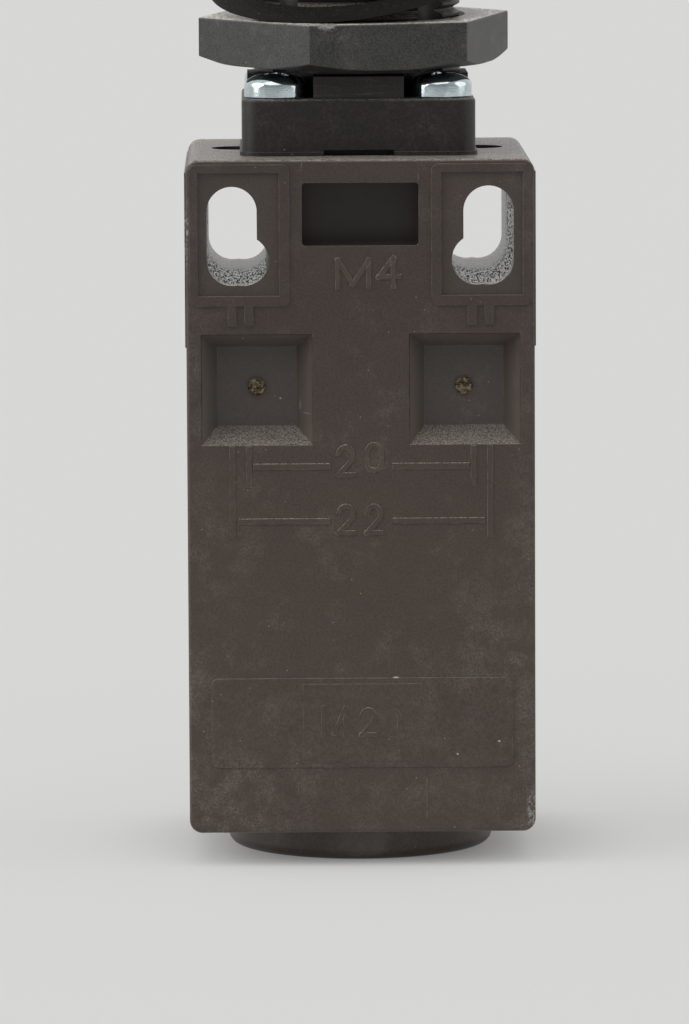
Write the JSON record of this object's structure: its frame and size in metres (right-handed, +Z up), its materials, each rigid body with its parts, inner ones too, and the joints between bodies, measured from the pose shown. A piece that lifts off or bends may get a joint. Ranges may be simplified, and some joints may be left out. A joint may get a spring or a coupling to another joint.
{
  "type": "roller plunger limit switch",
  "caption": "Narrow plastic limit switch with slotted mounting holes, a threaded collar with nuts and a sprung roller plunger on top, standing on its threaded cable entry.",
  "frame": {"origin": "axis of the plunger and of the cable entry, at the bottom of the entry boss", "axes": "+Z up the plunger, -Y out of the mounting side with the slots, +X to the right when looking at the mounting side"},
  "size_m": [0.03, 0.0302, 0.1038],
  "materials": {
    "housing_plastic": "moulded grey-brown thermoplastic, dusty matt",
    "head_plastic": "moulded near-black thermoplastic, satin",
    "nut_plastic": "glass-filled grey plastic, matt grain",
    "washer_steel": "blackened steel, dusty",
    "zinc_steel": "bright zinc plate",
    "plunger_steel": "fine turned",
    "spring_steel": "drawn wire",
    "roller_plastic": "natural ivory plastic, satin",
    "seal_rubber": "matt black rubber",
    "block_plastic": "moulded black, satin",
    "carrier_plastic": "moulded red-brown, satin",
    "contact_brass": "stamped, tarnished"
  },
  "bodies": {
    "switch_body": {"housing": "housing_plastic", "front_cover": "housing_plastic", "cover_gasket": "seal_rubber", "cover_screws": "zinc_steel", "plunger_head": "head_plastic", "head_gasket": "seal_rubber", "head_screws": "zinc_steel", "lower_nut": "nut_plastic", "upper_nut": "nut_plastic", "panel_washer": "washer_steel", "wiper_seal": "seal_rubber", "return_spring": "spring_steel", "carrier_spring": "spring_steel", "contact_block_base": "block_plastic", "contact_block_cover": "block_plastic", "contact_block_screws": "zinc_steel", "nc_terminal_left": "contact_brass", "nc_terminal_right": "contact_brass", "no_terminal_left": "contact_brass", "no_terminal_right": "contact_brass", "wire_clamps": "zinc_steel", "terminal_screws": "zinc_steel"},
    "plunger": {"plunger": "plunger_steel", "roller_pin": "plunger_steel"},
    "roller": {"roller": "roller_plastic"},
    "contact_carrier": {"contact_carrier": "carrier_plastic", "nc_bridge": "contact_brass", "nc_contact_spring": "spring_steel"},
    "no_bridge": {"no_bridge": "contact_brass", "no_contact_spring": "spring_steel"}
  },
  "joints": [
    {"name": "plunger_slide", "type": "slide", "parent": "switch_body", "child": "plunger", "axis": [0, 0, -1], "range_m": [0, 0.005], "stiffness_N_per_m": 1200, "springref_m": -0.005, "deforming": ["return_spring"]},
    {"name": "roller_spin", "type": "hinge", "parent": "plunger", "child": "roller", "pos_m": [0, 0, 0.0978], "axis": [0, 1, 0], "continuous": true},
    {"name": "carrier_slide", "type": "slide", "parent": "switch_body", "child": "contact_carrier", "axis": [0, 0, -1], "range_m": [0, 0.005], "deforming": ["carrier_spring"]},
    {"name": "no_bridge_slide", "type": "slide", "parent": "switch_body", "child": "no_bridge", "axis": [0, 0, -1], "range_m": [0, 0.0025], "deforming": ["no_contact_spring"]}
  ],
  "couplings": [
    {"joint": "carrier_slide", "follows": "plunger_slide", "ratio": 1},
    {"joint": "no_bridge_slide", "follows": "plunger_slide", "ratio": 0.5}
  ]
}
